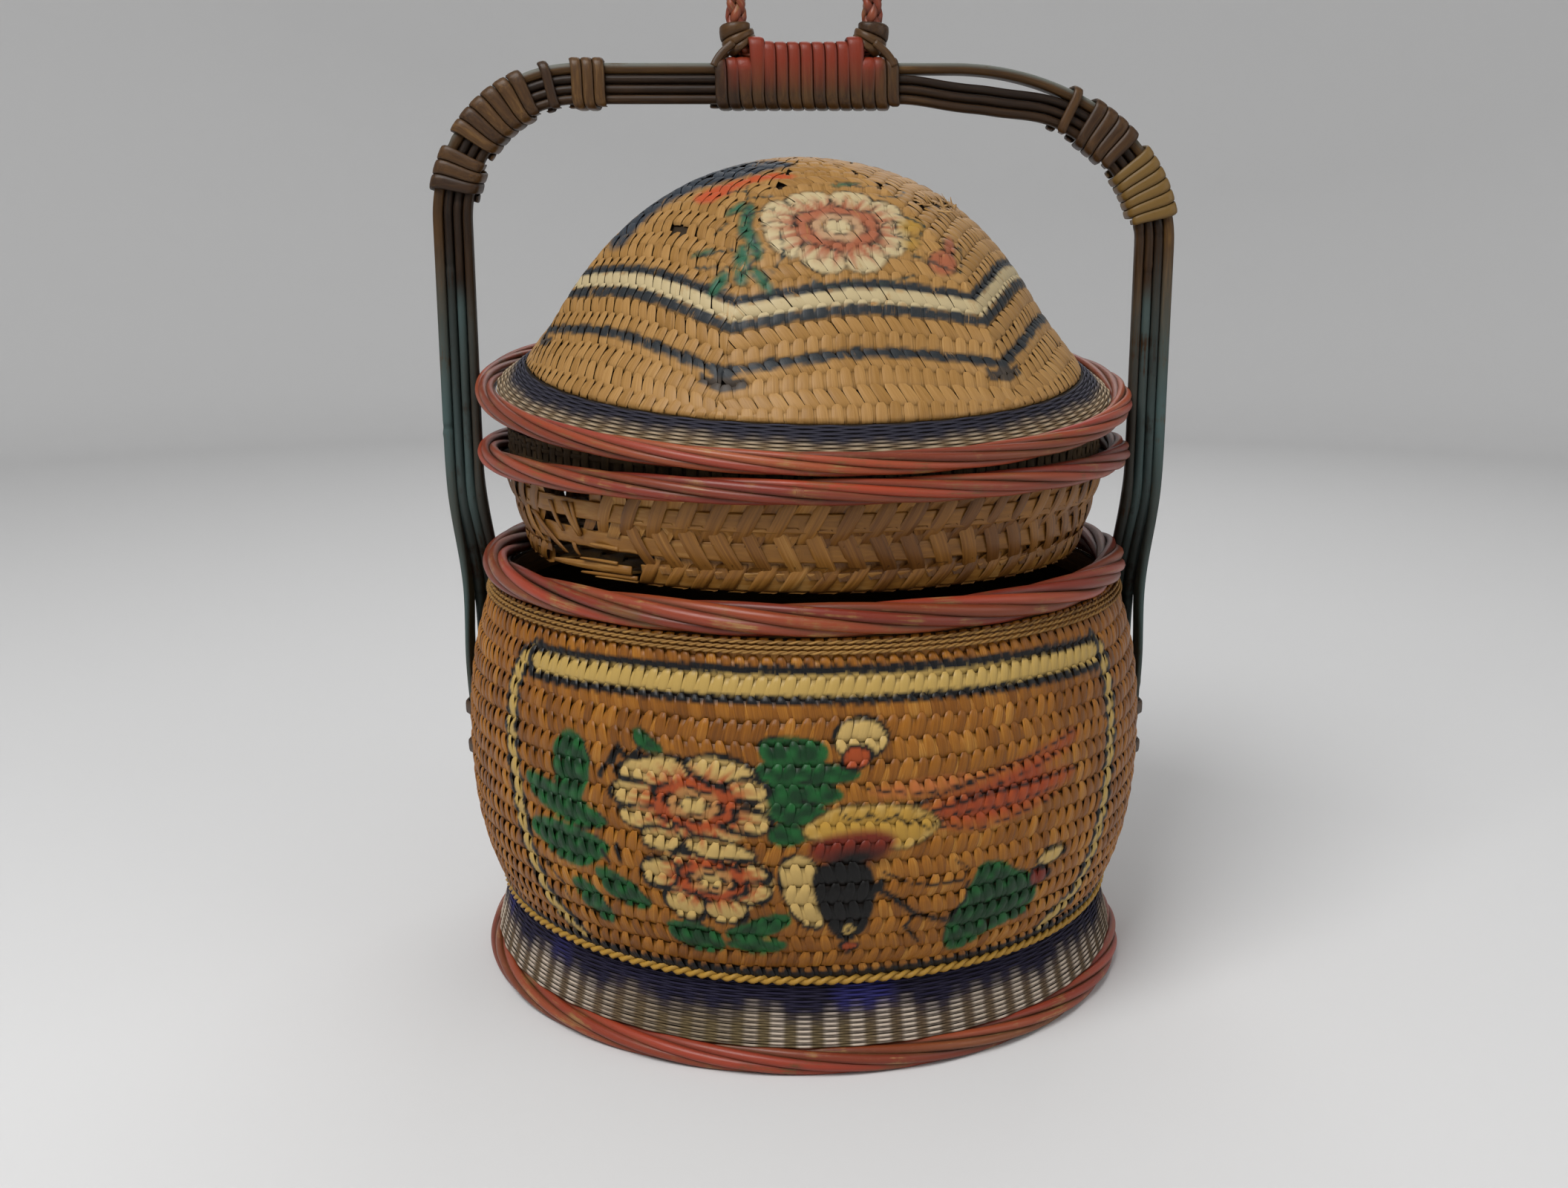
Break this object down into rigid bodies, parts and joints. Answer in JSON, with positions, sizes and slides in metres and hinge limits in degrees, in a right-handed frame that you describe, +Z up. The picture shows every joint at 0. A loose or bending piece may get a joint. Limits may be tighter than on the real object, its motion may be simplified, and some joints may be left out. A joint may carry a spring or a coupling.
{
  "type": "tiered bamboo basket",
  "caption": "Round tiered bamboo basket on a flared foot, with a bulging woven base, a shallow tray, a domed lid and a bent-cane handle with a ring, for carrying food or gifts.",
  "frame": {"origin": "on the floor under the middle of the foot ring", "axes": "+Z up, -Y towards the painted front, +X to the right of someone who faces the front"},
  "size_m": [0.3975, 0.3732, 0.5591],
  "materials": {
    "painted_bamboo": "varnished woven bamboo with painted ornament",
    "raw_splint": "plain split bamboo",
    "red_rope": "twisted cane with worn red lacquer",
    "navy_wicker": "fine wicker painted navy and cream",
    "handle_cane": "dark aged cane",
    "teal_strip": "dark bamboo strip with worn blue-green paint",
    "binding_cane": "split cane binding"
  },
  "bodies": {
    "basket": {"base_floor": "raw_splint", "base_mouth_hoop": "raw_splint", "base_rim_rope": "red_rope", "base_rim_twine": "raw_splint", "base_wall": "painted_bamboo", "carry_ring": "red_rope", "centre_wrap": "binding_cane", "foot_rope": "red_rope", "foot_skirt": "navy_wicker", "handle_cane_1": "handle_cane", "handle_cane_2": "handle_cane", "handle_cane_3": "handle_cane", "handle_outer_strip": "teal_strip", "handle_rear_cane": "handle_cane", "left_corner_wrap": "binding_cane", "left_lower_lashing": "binding_cane", "left_ring_knot": "binding_cane", "left_shoulder_wrap": "binding_cane", "left_tie": "binding_cane", "left_top_wrap": "binding_cane", "left_upper_lashing": "binding_cane", "right_corner_wrap": "binding_cane", "right_lower_lashing": "binding_cane", "right_ring_knot": "binding_cane", "right_shoulder_wrap": "binding_cane", "right_tie": "binding_cane", "right_upper_lashing": "binding_cane"},
    "tray": {"tray_floor": "raw_splint", "tray_neck": "raw_splint", "tray_rope": "red_rope", "tray_wall": "raw_splint"},
    "lid": {"lid_brim": "navy_wicker", "lid_dome": "painted_bamboo", "lid_hoop": "raw_splint", "lid_rope": "red_rope"}
  },
  "joints": [
    {"name": "tray_draw", "type": "slide", "parent": "basket", "child": "tray", "axis": [0, -0.9397, 0.342], "range_m": [0, 0.42]},
    {"name": "lid_draw", "type": "slide", "parent": "tray", "child": "lid", "axis": [0, -0.9397, 0.342], "range_m": [0, 0.42]}
  ]
}
